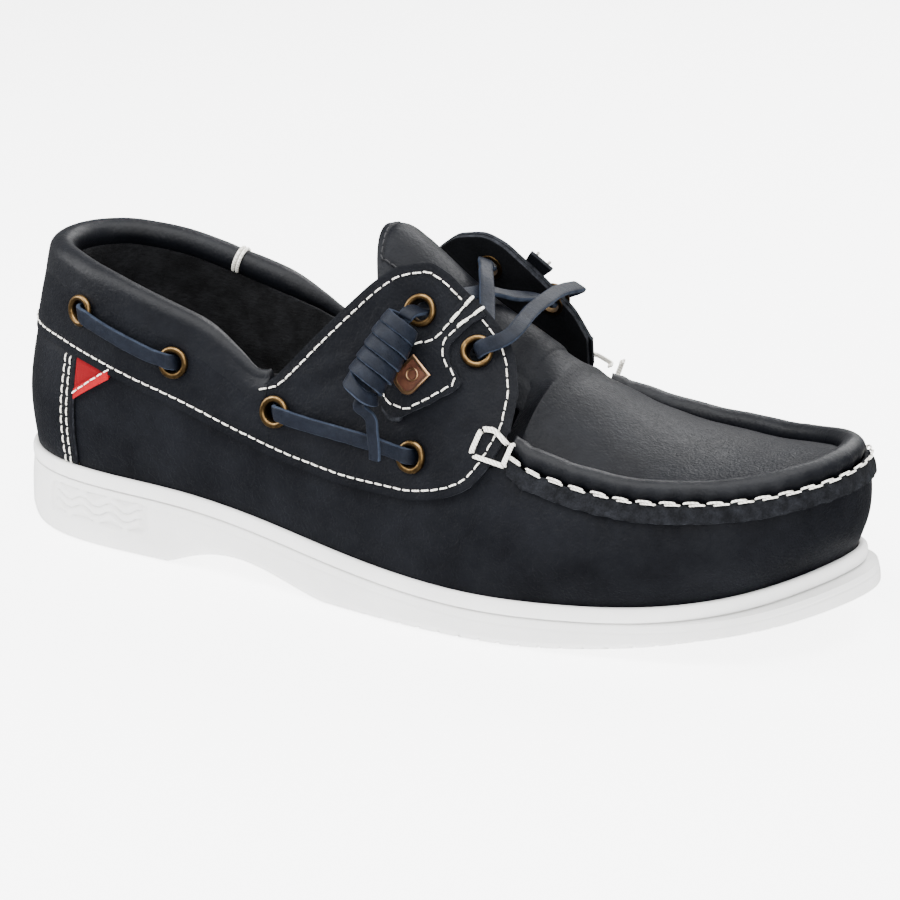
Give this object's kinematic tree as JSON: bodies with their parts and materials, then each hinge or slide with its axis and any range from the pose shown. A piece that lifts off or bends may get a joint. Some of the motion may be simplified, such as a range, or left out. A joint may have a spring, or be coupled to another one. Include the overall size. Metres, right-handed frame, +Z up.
{
  "type": "low lace-up deck shoe",
  "caption": "Low leather deck shoe, right foot: white cup sole, moccasin toe seam, lace flaps, collar lace and barrel-knotted rawhide lace ends.",
  "frame": {"origin": "middle of the footprint on the ground", "axes": "+X from heel to toe, +Y to the inner side of a right foot, +Z up"},
  "size_m": [0.3014, 0.1082, 0.1154],
  "materials": {
    "sole_rubber": "white moulded rubber, satin",
    "upper_leather": "oiled navy full-grain leather, low sheen",
    "collar_leather": "smooth navy leather, soft sheen",
    "tongue_leather": "navy leather, edge stitched",
    "flap_lining": "black leather, matt",
    "raw_edge": "cut leather edge, rough",
    "lace_leather": "flat rawhide lace, lighter raw edges",
    "lining_nap": "napped dark lining, very matt",
    "footbed_leather": "leather-covered footbed, matt",
    "white_thread": "waxed thick thread",
    "red_tab": "red woven cloth tab",
    "eyelet_brass": "antique brass",
    "badge_metal": "brown enamel with a brass edge",
    "foam": "collar foam",
    "stiffener": "thermoplastic stiffener",
    "board": "fibre insole board",
    "cork": "cork filler",
    "shank_steel": "spring steel"
  },
  "bodies": {
    "shoe": {"outsole": "sole_rubber", "cork_filler": "cork", "shank": "shank_steel", "insole_board": "board", "footbed": "footbed_leather", "vamp": "upper_leather", "heel_stiffener": "stiffener", "heel_counter": "upper_leather", "toe_puff": "stiffener", "quarter_lining": "lining_nap", "quarter_overlay_outer": "upper_leather", "quarter_overlay_inner": "upper_leather", "flap_lining_outer": "flap_lining", "flap_lining_inner": "flap_lining", "saddle_patch_outer": "upper_leather", "saddle_patch_inner": "upper_leather", "collar_roll_outer": "collar_leather", "collar_roll_inner": "collar_leather", "collar_lace": "lace_leather", "collar_foam_outer": "foam", "collar_foam_inner": "foam", "seam_roll": "collar_leather", "seam_thread": "white_thread", "apron_skirt": "raw_edge", "apron": "upper_leather", "red_tab": "red_tab", "badge": "badge_metal", "front_lace": "lace_leather", "eyelet_outer_rear": "eyelet_brass", "eyelet_outer_middle": "eyelet_brass", "eyelet_outer_low_rear": "eyelet_brass", "eyelet_outer_low_front": "eyelet_brass", "eyelet_outer_flap_lower": "eyelet_brass", "eyelet_outer_flap_upper": "eyelet_brass", "eyelet_inner_rear": "eyelet_brass", "eyelet_inner_middle": "eyelet_brass", "eyelet_inner_low_rear": "eyelet_brass", "eyelet_inner_low_front": "eyelet_brass", "eyelet_inner_flap_lower": "eyelet_brass", "eyelet_inner_flap_upper": "eyelet_brass"},
    "tongue": {"tongue": "tongue_leather"},
    "outer_knot": {"knot_outer": "lace_leather", "lace_tail_outer": "lace_leather"},
    "inner_knot": {"knot_inner": "lace_leather", "lace_tail_inner": "lace_leather"}
  },
  "joints": [
    {"name": "tongue_bend", "type": "hinge", "parent": "shoe", "child": "tongue", "pos_m": [0.0391, 0.0035, 0.0655], "axis": [0, -1, 0], "range_deg": [0, 18], "stiffness_Nm_per_rad": 0.05},
    {"name": "outer_knot_swing", "type": "hinge", "parent": "shoe", "child": "outer_knot", "pos_m": [0.0056, -0.0354, 0.0985], "axis": [0.0934, -0.931, 0.353], "range_deg": [-25, 6]},
    {"name": "inner_knot_swing", "type": "hinge", "parent": "shoe", "child": "inner_knot", "pos_m": [0.0051, 0.038, 0.0977], "axis": [0.0482, 0.9618, 0.2693], "range_deg": [-18, 25]}
  ]
}
